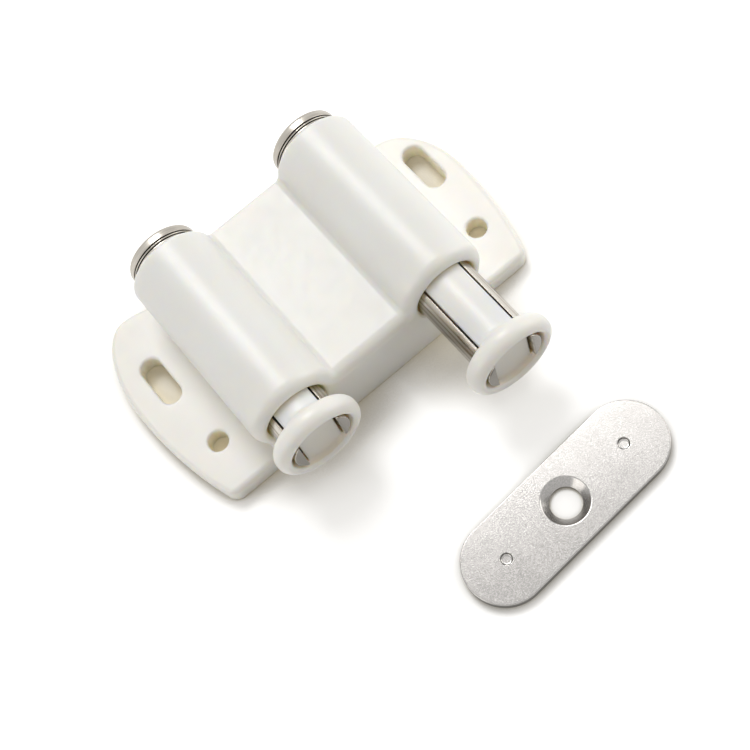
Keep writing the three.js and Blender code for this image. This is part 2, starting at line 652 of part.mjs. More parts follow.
// Everything in one barrel. The left plunger is latched in and the right one is out.
function barrelContents(label, side, pushedOut) {
  const group = new THREE.Group();
  group.position.set((side * BARREL_SPACING) / 2, 0, BARREL_AXIS_HEIGHT);
  const shoulder = SHOULDER_LATCHED - pushedOut;
  const wire = named(`latch_wire_${label}`, latchWire(), materials.spring);
  wire.position.set(0, PIVOT_AT, WIRE_HEIGHT);
  wire.rotation.z = (pushedOut / STROKE) * WIRE_SWING;
  const cap = named(`rear_cap_${label}`, rearCap(), materials.nickel);
  const spring = named(`return_spring_${label}`, returnSpring(shoulder, label), materials.spring);
  group.add(plunger(label, shoulder), wire, cap, spring);
  return group;
}

const latch = new THREE.Group();
latch.add(named("housing", housing(), materials.ivory));
latch.add(barrelContents("left", -1, 0), barrelContents("right", 1, STROKE));
const strike = named("strike_plate", strikePlate(), materials.satin);
strike.position.set(STRIKE_ASIDE, FRONT - STRIKE_FROM_FRONT, 0);
strike.rotation.z = STRIKE_TURN;
latch.add(strike);

export default latch;
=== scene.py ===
"""Detailed pieces, materials, light and camera for a double magnetic touch latch."""

import math

import bpy
import numpy as np
from mathutils import Matrix, Vector


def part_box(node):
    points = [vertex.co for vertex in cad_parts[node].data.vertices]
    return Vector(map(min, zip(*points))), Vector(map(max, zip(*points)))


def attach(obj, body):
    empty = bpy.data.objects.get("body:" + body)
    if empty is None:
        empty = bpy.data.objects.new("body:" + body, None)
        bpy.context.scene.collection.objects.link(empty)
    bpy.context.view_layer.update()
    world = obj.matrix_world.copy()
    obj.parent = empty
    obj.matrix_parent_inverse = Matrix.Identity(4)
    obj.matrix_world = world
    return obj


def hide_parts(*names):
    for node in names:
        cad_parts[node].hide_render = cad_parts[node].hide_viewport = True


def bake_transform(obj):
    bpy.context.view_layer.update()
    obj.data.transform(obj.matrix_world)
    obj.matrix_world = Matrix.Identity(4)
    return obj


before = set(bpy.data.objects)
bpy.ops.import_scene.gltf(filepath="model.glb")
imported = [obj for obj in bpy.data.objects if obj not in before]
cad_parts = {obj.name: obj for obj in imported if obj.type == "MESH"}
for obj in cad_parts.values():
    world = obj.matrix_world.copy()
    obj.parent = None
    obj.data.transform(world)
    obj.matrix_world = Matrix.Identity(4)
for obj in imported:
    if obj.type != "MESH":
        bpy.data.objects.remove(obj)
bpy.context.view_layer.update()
MM = 0.001


def box_mm(node):
    low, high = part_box(node)
    return np.array(low) / MM, np.array(high) / MM


# Places and sizes read from the frame, in millimetres
base_low, base_high = box_mm("housing")
sleeve_low, sleeve_high = box_mm("plunger_sleeve_right")
cap_low, cap_high = box_mm("rear_cap_right")
pole_low, pole_high = box_mm("pole_plate_outer_right")
strike_low, strike_high = box_mm("strike_plate")
FRONT, REAR = base_low[1], -base_low[1]
AXIS_X = (sleeve_low[0] + sleeve_high[0]) / 2
AXIS_Z = (sleeve_low[2] + sleeve_high[2]) / 2
BARREL_RADIUS = base_high[2] - AXIS_Z
HEAD_RADIUS = (sleeve_high[0] - sleeve_low[0]) / 2
SLEEVE_LENGTH = sleeve_high[1] - sleeve_low[1]
SHANK_RADIUS = pole_high[0] - AXIS_X
POLE_FLAT = pole_low[0] - AXIS_X
POLE_SETBACK = pole_low[1] - sleeve_low[1]
CAP_RADIUS = (cap_high[0] - cap_low[0]) / 2
CAP_END = cap_high[1]
CAP_PLUG_FROM = cap_low[1]
STRIKE_THICKNESS = strike_high[2]

# Sizes of the housing in millimetres, with pairs for the left and right wings
BASE_THICKNESS = 4
HALF_WIDTH = (-base_low[0], base_high[0])
SIDE_BOW = (4.2, 3.5)
REAR_CORNER_WIDTH = (8.4, 9.6)
REAR_CORNER_DEPTH = (18.4, 14.5)
REAR_STEP = (3.2, -1.6)
FRONT_CORNER = 1.6
PLATE_EDGE_ROUND = 0.9
HOLE_RADIUS = 1.95
HOLE_FROM_AXIS = 13.95
HOLE_FROM_FRONT = 10.3
SLOT_RADIUS = 2.1
SLOT_LENGTH = 10.6
SLOT_FROM_AXIS = 15.15
SLOT_FROM_REAR = 12.1
HOLE_EDGE_ROUND = 0.4
BLOCK_HEIGHT = 14.9
BARREL_INSET = 0.7
BARREL_REAR = REAR - BARREL_INSET
FRONT_ROUND = 2.2
REAR_ROUND = 0.65
FOOT_INSET = 1.65
FOOT_HALF = BARREL_RADIUS - FOOT_INSET
CREASE_ROUND = 1.0
WING_CREASE_ROUND = 0.2
CREASE_FADE = 2
CREASE_LEAST_SHARE = 0.02
MOUTH_ROUND = 0.7
SHANK_CLEARANCE = 0.3
LIP_LENGTH = 4
LIP_HEIGHT = 0.7
LIP_RADIUS = SHANK_RADIUS + SHANK_CLEARANCE
LIP_REAR = FRONT + LIP_LENGTH
BORE_RADIUS = LIP_RADIUS + LIP_HEIGHT
RIB_THICKNESS = 1.6
WALL = 2.5
POCKET_ROWS = 4

# Sizes of the plungers, caps, springs and strike plate
STRIP_HALF = 3.7
HEAD_THICKNESS = 4.3
HEAD_ROUND = 2
HEAD_FLARE = 1.3
HEAD_LENGTH = 5.2
RIM_WIDTH = 2.25
RECESS_RADIUS = HEAD_RADIUS - RIM_WIDTH
RECESS_DEPTH = 1.5
RECESS_EDGE_ROUND = 1
RECESS_SKIN = 0.1
# Share of painted shade given to the plungers' head recess
RECESS_PAINTED_SHADE = 0.5
SLOT_GAP = 0.2
POLE_EDGE_ROUND = 0.3
MAGNET_FROM_RECESS = 1.2
MAGNET_LENGTH = 8.4
MAGNET_HALF = 3.95
SOCKET_HALF = 2.4
SOCKET_DEPTH = 4.2
CAM_PIN_RADIUS = 0.85
CAM_PIN_FROM_END = 1.8
CAP_PLUG_CLEARANCE = 0.2
CAP_WALL = 0.8
CAP_FLOOR_THICKNESS = 2.6
CAP_PLUG_RADIUS = BORE_RADIUS - CAP_PLUG_CLEARANCE
CAP_CUP_RADIUS = CAP_PLUG_RADIUS - CAP_WALL
CAP_FLOOR = CAP_END - CAP_FLOOR_THICKNESS
CAP_CLEARANCE = 0.2
CAP_EDGE_ROUND = 0.8
CAP_GROOVES = (1.05, 1.6)
CAP_GROOVE_DEPTH = 0.7
CAP_GROOVE_WIDTH = 0.26
CAP_GROOVE_ROUND = 0.08
SPRING_WIRE_RADIUS = 0.4
SPRING_FROM_CUP = 0.95
SPRING_RADIUS = CAP_CUP_RADIUS - SPRING_FROM_CUP
SPRING_TURNS = 10
SPRING_STEPS_PER_TURN = 40
STRIKE_RADIUS = 7.7
STRIKE_HALF_LENGTH = 22.4
STRIKE_EDGE_ROUND = 0.2
STRIKE_HOLE_RADIUS = 2.9
STRIKE_SINK_WIDTH = 1.45
STRIKE_DIMPLE_RADIUS = 1.05
STRIKE_DIMPLE_DEPTH = 0.55
STRIKE_DIMPLE_ROUND = 0.35
STRIKE_DIMPLE_SPACING = 28.5
STRIKE_TURN = math.radians(4.1)

# Fineness of the meshes, in millimetres
HOUSING_STEP = 0.36
SLEEVE_STEP = 0.2
METAL_STEP = 0.16
SURFACE_PASSES = 4


# Signed distances, negative inside, and the meshes made from them
def round_cut(a, b, radius):
    """Where both a and b are inside, with the edge between their surfaces rounded."""
    corner = np.hypot(np.maximum(a + radius, 0), np.maximum(b + radius, 0))
    return np.minimum(np.maximum(a, b), -radius) + corner


def round_join(a, b, radius):
    """Where a or b is inside, with a fillet in the corner between their surfaces."""
    return -round_cut(-a, -b, radius)


def between(value, low, high):
    return np.maximum(low - value, value - high)


def slope(field, points, gap=0.01):
    parts = []
    for axis in range(3):
        shift = np.zeros(3)
        shift[axis] = gap
        parts.append((field(*(points + shift).T) - field(*(points - shift).T)) / (2 * gap))
    return np.stack(parts, 1)


def surface(field, low, high, step):
    """Points, quads and normals of the surface where field is zero, with quads about one step across."""
    low = np.asarray(low, float) - 1.5 * step
    counts = np.ceil((np.asarray(high, float) - low) / step).astype(int) + 3
    value = field(*np.meshgrid(*(low[a] + step * np.arange(counts[a]) for a in range(3)), indexing="ij"))
    inside = value < 0
    corners = [np.array([n & 1, n >> 1 & 1, n >> 2]) for n in range(8)]
    filled = np.zeros(counts - 1, np.uint8)
    for i, j, k in corners:
        filled += inside[i : i + counts[0] - 1, j : j + counts[1] - 1, k : k + counts[2] - 1]
    cells = np.argwhere((filled > 0) & (filled < 8))
    index = np.full(counts - 1, -1)
    index[tuple(cells.T)] = np.arange(len(cells))
    points = low + step * (cells + crossing_middle(value, cells, corners))
    for _ in range(SURFACE_PASSES):
        normals = slope(field, points)
        steep = np.maximum((normals**2).sum(1), 0.1)
        move = np.clip(field(*points.T) / steep, -step / 2, step / 2)
        points = points - move[:, None] * normals
    normals = slope(field, points)
    normals /= np.maximum(np.linalg.norm(normals, axis=1), 1e-6)[:, None]
    return points, np.concatenate([quads_across(inside, index, axis) for axis in range(3)]), normals


def crossing_middle(value, cells, corners):
    """The middle of the places where the surface crosses each cell's edges, in shares of the cell."""
    at = [value[tuple((cells + corner).T)] for corner in corners]
    total = np.zeros((len(cells), 3))
    hits = np.zeros(len(cells))
    for i in range(8):
        for j in range(i + 1, 8):
            if abs(corners[i] - corners[j]).sum() > 1:
                continue
            crossed = (at[i] < 0) != (at[j] < 0)
            share = np.where(crossed, at[i] / np.where(crossed, at[i] - at[j], 1), 0)
            point = corners[i] + share[:, None] * (corners[j] - corners[i])
            total += np.where(crossed[:, None], point, 0)
            hits += crossed
    return total / hits[:, None]


def quads_across(inside, index, axis):
    """One quad for each grid edge along the axis that the surface crosses, facing out."""
    u, v = (axis + 1) % 3, (axis + 2) % 3
    lower = np.moveaxis(inside, axis, 0)[:-1]
    upper = np.moveaxis(inside, axis, 0)[1:]
    found = np.moveaxis(lower != upper, 0, axis)
    nodes = np.argwhere(found)
    ring = []
    for back_u, back_v in ((1, 1), (0, 1), (0, 0), (1, 0)):
        cell = nodes.copy()
        cell[:, u] -= back_u
        cell[:, v] -= back_v
        ring.append(index[tuple(cell.T)])
    quads = np.stack(ring, 1)
    flipped = ~inside[tuple(nodes.T)]
    quads[flipped] = quads[flipped][:, ::-1]
    return quads


def smooth_object(name, points, faces, material):
    """An object in the scene from points in millimetres, shaded smooth."""
    mesh = bpy.data.meshes.new(name)
    mesh.from_pydata((points * MM).tolist(), [], faces)
    mesh.shade_smooth()
    mesh.materials.append(material)
    made_object = bpy.data.objects.new(name, mesh)
    bpy.context.scene.collection.objects.link(made_object)
    return made_object


def piece(name, made, body, material, replaced, place=Matrix.Identity(4), painted_shade=None):
    """An object from points, quads and normals, put in its place and riding on its body."""
    points, quads, normals = made
    turn = np.array(place.to_3x3())
    placed = points @ turn.T + np.array(place.translation)
    made_object = smooth_object(name, placed, quads.tolist(), material)
    made_object.data.normals_split_custom_set_from_vertices((normals @ turn.T).tolist())
    # An optional per-point share of painted shade, read by the plastic's colour
    if painted_shade is not None:
        attribute = made_object.data.attributes.new("painted_shade", "FLOAT", "POINT")
        attribute.data.foreach_set("value", painted_shade)
    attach(made_object, body)
    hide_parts(replaced)


# The housing
def outline(x, y):
    """Distance from the base plate's outline: bowed sides, elliptic rear corners, a swaying rear edge."""
    sizes = (HALF_WIDTH, SIDE_BOW, REAR_CORNER_WIDTH, REAR_CORNER_DEPTH, REAR_STEP)
    half, bow, width, depth, step = (np.where(x < 0, *pair) for pair in sizes)
    side = np.abs(x)
    from_widest = y - REAR - step + depth
    side_length = REAR + step - depth - FRONT
    radius = (bow**2 + side_length**2) / (2 * bow)
    bowed = np.hypot(side - half + radius, from_widest) - radius
    share = np.clip((side - AXIS_X) / (half - width - AXIS_X), 0, 1)
    along = y - REAR - step * share**2 * (3 - 2 * share) + depth
    across = np.maximum(side - half + width, 0) / width
    back = np.maximum(along, 0) / depth
    reach = np.hypot(across, back)
    steep = np.hypot(across / width, back / depth)
    size = np.where(steep > 1e-6, reach / np.maximum(steep, 1e-6), depth)
    edge = np.where(from_widest < 0, bowed, size * (reach - 1))
    return round_cut(edge, FRONT - y, FRONT_CORNER)


def wing_holes(x, y):
    side = np.abs(x) - AXIS_X
    hole = np.hypot(side - HOLE_FROM_AXIS, y - FRONT - HOLE_FROM_FRONT) - HOLE_RADIUS
    beyond = np.maximum(np.abs(y - REAR + SLOT_FROM_REAR) - SLOT_LENGTH / 2 + SLOT_RADIUS, 0)
    slot = np.hypot(side - SLOT_FROM_AXIS, beyond) - SLOT_RADIUS
    return np.minimum(hole, slot)


def pockets(x, y, z):
    outer = AXIS_X - BARREL_RADIUS - RIB_THICKNESS / 2
    step = (REAR - FRONT - 2 * WALL + RIB_THICKNESS) / POCKET_ROWS
    along = y - FRONT - WALL
    along = along - step * np.clip(np.floor(along / step), 0, POCKET_ROWS - 1)
    across = between(np.abs(x), RIB_THICKNESS / 2, outer)
    sides = np.maximum(across, between(along, 0, step - RIB_THICKNESS))
    return np.maximum(sides, z - BLOCK_HEIGHT + WALL)


def housing(x, y, z):
    across = np.abs(x) - AXIS_X
    spread = np.hypot(across, z - AXIS_Z)
    foot = np.maximum(np.abs(across) - FOOT_HALF, z - AXIS_Z)
    section = round_join(spread - BARREL_RADIUS, foot, CREASE_ROUND)
    section = round_join(section, np.maximum(across, z - BLOCK_HEIGHT), CREASE_ROUND)
    body = round_cut(section, FRONT - y, FRONT_ROUND)
    body = round_cut(body, y - BARREL_REAR, REAR_ROUND)
    plate = round_cut(outline(x, y), z - BASE_THICKNESS, PLATE_EDGE_ROUND)
    ends = np.minimum(y - FRONT, BARREL_REAR - y)
    crease = WING_CREASE_ROUND * np.clip(ends / CREASE_FADE - 1, CREASE_LEAST_SHARE, 1)
    body = round_join(body, plate, crease)
    body = round_cut(body, -z, HOLE_EDGE_ROUND / 2)
    bore = np.minimum(spread - LIP_RADIUS, np.maximum(spread - BORE_RADIUS, LIP_REAR - y))
    body = round_cut(body, -bore, MOUTH_ROUND)
    body = round_cut(body, -wing_holes(x, y), HOLE_EDGE_ROUND)
    return round_cut(body, -pockets(x, y, z), HOLE_EDGE_ROUND / 2)


# The plungers and caps about their axes, with y = 0 just behind a plunger's head
def sleeve(x, y, z):
    spread = np.hypot(x, z)
    shank_end = SLEEVE_LENGTH - HEAD_LENGTH
    recess_floor = RECESS_DEPTH - HEAD_LENGTH
    head_from = -HEAD_LENGTH
    head = round_cut(spread - HEAD_RADIUS, between(y, head_from, head_from + HEAD_THICKNESS), HEAD_ROUND)
    strip = round_cut(spread - SHANK_RADIUS, np.abs(x) - STRIP_HALF, SLOT_GAP)
    strip = np.maximum(strip, between(y, recess_floor, shank_end))
    flare_end = head_from + HEAD_THICKNESS + HEAD_FLARE
    root = np.maximum(spread - SHANK_RADIUS, between(y, recess_floor, flare_end))
    body = round_join(root, head, HEAD_FLARE)
    recess = round_cut(spread - RECESS_RADIUS, y - recess_floor, RECESS_EDGE_ROUND)
    body = round_cut(body, -recess, RECESS_EDGE_ROUND)
    slots = np.maximum(spread - SHANK_RADIUS - SLOT_GAP, STRIP_HALF - np.abs(x))
    body = np.minimum(round_cut(body, -slots, SLOT_GAP), strip)
    magnet_from = recess_floor + MAGNET_FROM_RECESS
    window = np.maximum(np.abs(z) - MAGNET_HALF, between(y, magnet_from, magnet_from + MAGNET_LENGTH))
    window = np.maximum(window, spread - SHANK_RADIUS)
    socket = np.maximum(np.maximum(np.abs(x), np.abs(z)) - SOCKET_HALF, shank_end - SOCKET_DEPTH - y)
    pin = np.hypot(x, y - shank_end + CAM_PIN_FROM_END) - CAM_PIN_RADIUS
    return np.maximum(body, -np.minimum(np.minimum(window, socket), pin))


def pole(x, y, z):
    bar = round_cut(np.hypot(x, z) - SHANK_RADIUS, POLE_FLAT - x, POLE_EDGE_ROUND)
    start = POLE_SETBACK - HEAD_LENGTH
    end = start + pole_high[1] - pole_low[1]
    return round_cut(bar, between(y, start, end), POLE_EDGE_ROUND)


def cap(x, y, z):
    """A plated cup with a flange, two narrow grooves and an end ring, at its own place along Y."""
    spread = np.hypot(x, z)
    start = BARREL_REAR + CAP_CLEARANCE
    edge = between(y, start, CAP_END)
    body = round_cut(spread - CAP_RADIUS, edge, CAP_EDGE_ROUND)
    for middle in CAP_GROOVES:
        from_middle = np.abs(y - start - middle)
        floor_depth = CAP_RADIUS - CAP_GROOVE_DEPTH - spread
        groove = np.maximum(from_middle - CAP_GROOVE_WIDTH / 2, floor_depth)
        body = round_cut(body, -groove, CAP_GROOVE_ROUND)
    plug = np.maximum(spread - CAP_PLUG_RADIUS, between(y, CAP_PLUG_FROM, start + CAP_CLEARANCE))
    return np.maximum(np.minimum(body, plug), -np.maximum(spread - CAP_CUP_RADIUS, y - CAP_FLOOR))


def strike(x, y, z):
    """The strike plate about its centre."""
    spread = np.hypot(x, y)
    beyond = np.maximum(np.abs(x) - STRIKE_HALF_LENGTH + STRIKE_RADIUS, 0)
    faces = between(z, 0, STRIKE_THICKNESS)
    plate = round_cut(np.hypot(beyond, y) - STRIKE_RADIUS, faces, STRIKE_EDGE_ROUND)
    sunk = STRIKE_THICKNESS - STRIKE_SINK_WIDTH
    sink = (spread - STRIKE_HOLE_RADIUS - (z - sunk)) * math.sqrt(0.5)
    plate = round_cut(plate, -np.minimum(spread - STRIKE_HOLE_RADIUS, sink), STRIKE_EDGE_ROUND / 2)
    ring = np.hypot(np.abs(x) - STRIKE_DIMPLE_SPACING / 2, y)
    depth = STRIKE_THICKNESS - STRIKE_DIMPLE_DEPTH
    dimple = round_cut(ring - STRIKE_DIMPLE_RADIUS, depth - z, STRIKE_DIMPLE_ROUND)
    return round_cut(plate, -dimple, STRIKE_EDGE_ROUND / 2)


def tube(points, radius, sides=12):
    """Points and quads of a round tube along a line of points, closed at both ends."""
    points = np.asarray(points)
    forward = np.gradient(points, axis=0)
    forward /= np.linalg.norm(forward, axis=1)[:, None]
    sideways = np.cross(forward[0], [0.3, 0.5, 0.8])
    rings = []
    for point, ahead in zip(points, forward):
        sideways = sideways - ahead * (sideways @ ahead)
        sideways /= np.linalg.norm(sideways)
        upward = np.cross(ahead, sideways)
        angles = 2 * math.pi * np.arange(sides) / sides
        circle = np.outer(np.cos(angles), sideways) + np.outer(np.sin(angles), upward)
        rings.append(point + radius * circle)
    made = np.concatenate([*rings, points[:1], points[-1:]])
    quads = []
    for ring in range(len(points) - 1):
        for side in range(sides):
            low, high = ring * sides + side, ring * sides + (side + 1) % sides
            quads.append([low, high, high + sides, low + sides])
    first, last = len(made) - 2, len(made) - 1
    end = (len(points) - 1) * sides
    for side in range(sides):
        after = (side + 1) % sides
        quads.append([first, after, side])
        quads.append([last, end + side, end + after])
    return made, quads


# Materials
def add(tree, kind, inputs=None, **settings):
    """A node with its settings, whose inputs are values or other nodes' outputs."""
    node = tree.nodes.new(kind)
    for key, value in settings.items():
        setattr(node, key, value)
    for key, value in (inputs or {}).items():
        if isinstance(value, bpy.types.NodeSocket):
            tree.links.new(value, node.inputs[key])
        else:
            node.inputs[key].default_value = value
    return node


def ramp(tree, value, *stops):
    node = add(tree, "ShaderNodeValToRGB", {"Fac": value})
    elements = node.color_ramp.elements
    while len(elements) < len(stops):
        elements.new(0.5)
    for element, (position, colour) in zip(elements, stops):
        element.position = position
        element.color = (*colour, 1) if isinstance(colour, tuple) else (colour, colour, colour, 1)
    return node.outputs["Color"]


def blank(name, **values):
    """A material with a Principled shader, and the object's own coordinates."""
    material = bpy.data.materials.new(name)
    material.use_nodes = True
    tree = material.node_tree
    shader = tree.nodes["Principled BSDF"]
    for key, value in values.items():
        shader.inputs[key.replace("_", " ")].default_value = value
    where = add(tree, "ShaderNodeTexCoord").outputs["Object"]
    return material, tree, shader, where


def noise(tree, where, scale, detail=2.0, rough=0.5):
    inputs = {"Vector": where, "Scale": scale, "Detail": detail, "Roughness": rough}
    return add(tree, "ShaderNodeTexNoise", inputs).outputs["Fac"]


def stretched(tree, where, x, y, z):
    return add(tree, "ShaderNodeMapping", {"Vector": where, "Scale": (x, y, z)}).outputs["Vector"]


def bump(tree, height, distance, strength=1.0):
    inputs = {"Height": height, "Distance": distance, "Strength": strength}
    return add(tree, "ShaderNodeBump", inputs).outputs["Normal"]


def mix(tree, share, first, second, blend="MIX"):
    """A colour between two others, each a socket or a colour."""
    node = add(tree, "ShaderNodeMix", data_type="RGBA", blend_type=blend)
    for socket, value in ((0, share), (6, first), (7, second)):
        if isinstance(value, bpy.types.NodeSocket):
            tree.links.new(value, node.inputs[socket])
        elif isinstance(value, tuple):
            node.inputs[socket].default_value = (*value, 1)
        else:
            node.inputs[socket].default_value = value
    return node.outputs[2]


def level(tree, axis, low, high):
    """1 where the surface faces along an axis, 0 where it runs beside it."""
    facing = add(tree, "ShaderNodeNewGeometry").outputs["Normal"]
    part = add(tree, "ShaderNodeSeparateXYZ", {"Vector": facing}).outputs[axis]
    either = add(tree, "ShaderNodeMath", {0: part}, operation="ABSOLUTE").outputs[0]
    return ramp(tree, either, (low, 0.0), (high, 1.0))


def plastic(name, light, dark, painted_hollow_shade, rough):
    """Moulded plastic: cloudy tone, painted warm shade where the surface is closed in or where a share of
    it is given per point, fine skin and soft light under the surface.
    """
    material, tree, shader, where = blank(name, Subsurface_Weight=0.7, Subsurface_Scale=0.003, IOR=1.46)
    shader.inputs["Subsurface Radius"].default_value = (1.0, 0.8, 0.5)
    tone = ramp(tree, noise(tree, where, 60, 3), (0.3, dark), (0.7, light))
    # Painted shade: where the surface is closed in, the colour turns warmer and darker, standing in for
    # shade and for light bounced inside the plastic.
    closed = add(tree, "ShaderNodeAmbientOcclusion", {"Distance": 0.006}, samples=16).outputs["AO"]
    share = ramp(tree, closed, (0.1, 1.0), (0.7, 0.0))
    given = add(tree, "ShaderNodeAttribute", attribute_name="painted_shade").outputs["Fac"]
    share = add(tree, "ShaderNodeMath", {0: share, 1: given}, operation="MAXIMUM").outputs[0]
    tree.links.new(mix(tree, share, tone, painted_hollow_shade), shader.inputs["Base Color"])
    skin = noise(tree, where, 700, 3)
    tree.links.new(ramp(tree, skin, (0.3, rough - 0.04), (0.7, rough + 0.04)), shader.inputs["Roughness"])
    tree.links.new(bump(tree, skin, 0.00002, 0.25), shader.inputs["Normal"])
    return material


def bright_nickel(name, across, along):
    """Bright plate with fine lines, warm brown bands of painted reflection and painted dark reflection on
    faces along Y, scaled across and along Y.
    """
    material, tree, shader, where = blank(name, Metallic=1.0)
    line = noise(tree, stretched(tree, where, across, along, across), 1, 3, 0.6)
    # Painted reflection: brown bands along Y stand in for dark brown surroundings mirrored in the plate.
    reflected_bands = noise(tree, stretched(tree, where, across / 6, along * 2, across / 6), 1, 3)
    deep, middle, bright = (0.24, 0.21, 0.17), (0.52, 0.49, 0.44), (0.72, 0.70, 0.66)
    plate = ramp(tree, line, (0.36, deep), (0.48, middle), (0.62, bright))
    brown = ramp(tree, reflected_bands, (0.38, 0.0), (0.68, 0.7))
    grain_and_reflection = mix(tree, brown, plate, (0.33, 0.28, 0.215))
    # Painted dark reflection: faces that look along Y, the poles' ends, turn dark.
    colour = mix(tree, level(tree, "Y", 0.6, 0.9), grain_and_reflection, (0.22, 0.205, 0.185))
    tree.links.new(colour, shader.inputs["Base Color"])
    tree.links.new(ramp(tree, line, (0.3, 0.16), (0.7, 0.27)), shader.inputs["Roughness"])
    tree.links.new(bump(tree, line, 0.00001, 0.5), shader.inputs["Normal"])
    return material


def turned_nickel(name):
    """Smooth bright plate with faint turned rings about Y, and painted shade where it is closed in."""
    material, tree, shader, where = blank(name, Metallic=1.0)
    ring = noise(tree, stretched(tree, where, 30, 1600, 30), 1, 2)
    # Painted shade: the plate darkens in its grooves and other closed-in places.
    closed = add(tree, "ShaderNodeAmbientOcclusion", {"Distance": 0.0008}, samples=8).outputs["AO"]
    plate = ramp(tree, ring, (0.35, (0.40, 0.37, 0.325)), (0.65, (0.53, 0.50, 0.45)))
    groove_shade = ramp(tree, closed, (0.25, 1.0), (0.7, 0.0))
    tree.links.new(mix(tree, groove_shade, plate, (0.15, 0.125, 0.10)), shader.inputs["Base Color"])
    tree.links.new(ramp(tree, ring, (0.3, 0.26), (0.7, 0.34)), shader.inputs["Roughness"])
    return material


def satin_nickel(name):
    """Tumbled plate with a speckled grain on its faces, and painted shade on its sides and steep walls."""
    material, tree, shader, where = blank(name, Metallic=1.0)
    speckle = noise(tree, where, 4400, 3, 0.8)
    patch = ramp(tree, noise(tree, where, 180, 3), (0.3, 0.85), (0.7, 1.0))
    deep, middle, bright = (0.34, 0.328, 0.315), (0.41, 0.396, 0.38), (0.475, 0.46, 0.443)
    tone = ramp(tree, speckle, (0.35, deep), (0.5, middle), (0.65, bright))
    face = mix(tree, 0.5, tone, patch, "MULTIPLY")
    # Painted shade: the plate's sides and the steep walls of its hole and dimples, which face neither up
    # nor down, are dark.
    colour = mix(tree, level(tree, "Z", 0.05, 0.3), (0.10, 0.095, 0.09), face)
    tree.links.new(colour, shader.inputs["Base Color"])
    tree.links.new(ramp(tree, speckle, (0.3, 0.15), (0.7, 0.24)), shader.inputs["Roughness"])
    tree.links.new(bump(tree, speckle, 0.00004, 0.18), shader.inputs["Normal"])
    return material


def steel(name, dark, light, rough):
    """Drawn wire or sintered metal with a mottled tone."""
    material, tree, shader, where = blank(name, Metallic=1.0)
    mottle = noise(tree, where, 1500, 4, 0.6)
    tree.links.new(ramp(tree, mottle, (0.3, dark), (0.7, light)), shader.inputs["Base Color"])
    tree.links.new(ramp(tree, mottle, (0.3, rough - 0.06), (0.7, rough + 0.08)), shader.inputs["Roughness"])
    tree.links.new(bump(tree, mottle, 0.00002, 0.4), shader.inputs["Normal"])
    return material


ivory = plastic("ivory_plastic", (0.885, 0.877, 0.85), (0.86, 0.85, 0.815), (0.97, 0.90, 0.71), 0.35)
white = plastic("white_plastic", (0.868, 0.864, 0.846), (0.85, 0.846, 0.826), (0.74, 0.66, 0.53), 0.33)
nickel = bright_nickel("bright_nickel", 2600, 14)
ringed_nickel = turned_nickel("turned_nickel")
satin = satin_nickel("satin_nickel")
spring_steel = steel("spring_steel", (0.42, 0.42, 0.43), (0.6, 0.6, 0.61), 0.3)
magnet_metal = steel("magnet", (0.022, 0.02, 0.018), (0.05, 0.046, 0.042), 0.55)


# The pieces, in place
def moved(x, y, z, turn=0.0):
    return Matrix.Translation((x, y, z)) @ Matrix.Rotation(turn, 4, "Y")


made = surface(housing, base_low, base_high, HOUSING_STEP)
piece("latch_housing", made, "base", ivory, "housing")

reach = HEAD_RADIUS
shank_end = SLEEVE_LENGTH - HEAD_LENGTH
sleeve_made = surface(sleeve, (-reach, -HEAD_LENGTH, -reach), (reach, shank_end, reach), SLEEVE_STEP)
points = sleeve_made[0]
# Painted shade: points in the head's recess take part of the plastic's warmer, darker shade colour.
in_recess = np.hypot(points[:, 0], points[:, 2]) < RECESS_RADIUS
in_recess &= points[:, 1] < RECESS_DEPTH - HEAD_LENGTH + RECESS_SKIN
recess_painted_shade = np.where(in_recess, RECESS_PAINTED_SHADE, 0.0)
pole_made = surface(pole, (POLE_FLAT, -HEAD_LENGTH, -reach), (SHANK_RADIUS, shank_end, reach), METAL_STEP)
cap_made = surface(cap, (-reach, CAP_PLUG_FROM, -reach), (reach, CAP_END, reach), METAL_STEP)

for label, side in (("left", -1), ("right", 1)):
    body = f"plunger_{label}"
    head_at = box_mm(f"plunger_sleeve_{label}")[0][1] + HEAD_LENGTH
    place = moved(side * AXIS_X, head_at, AXIS_Z)
    replaced = f"plunger_sleeve_{label}"
    piece(f"sleeve_{label}", sleeve_made, body, white, replaced, place, recess_painted_shade)
    for where in ("inner", "outer"):
        faces_right = (where == "inner") == (side < 0)
        place = moved(side * AXIS_X, head_at, AXIS_Z, 0.0 if faces_right else math.pi)
        replaced = f"pole_plate_{where}_{label}"
        piece(f"pole_{where}_{label}", pole_made, body, nickel, replaced, place)
    place = moved(side * AXIS_X, 0, AXIS_Z)
    piece(f"cap_{label}", cap_made, "base", ringed_nickel, f"rear_cap_{label}", place)

    # The spring stretches between the cap's floor and the cam's collar
    spring_low, spring_high = box_mm(f"return_spring_{label}")
    turns = np.linspace(0, 1, SPRING_TURNS * SPRING_STEPS_PER_TURN + 1)
    angle = 2 * math.pi * SPRING_TURNS * turns
    spring_length = spring_high[1] - spring_low[1] - 2 * SPRING_WIRE_RADIUS
    across = side * AXIS_X + SPRING_RADIUS * np.cos(angle)
    along = spring_low[1] + SPRING_WIRE_RADIUS + turns * spring_length
    line = np.stack([across, along, AXIS_Z + SPRING_RADIUS * np.sin(angle)], 1)
    coil, coil_quads = tube(line, SPRING_WIRE_RADIUS)
    spring = smooth_object(f"spring_{label}", coil, coil_quads, spring_steel)
    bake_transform(spring)
    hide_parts(f"return_spring_{label}")

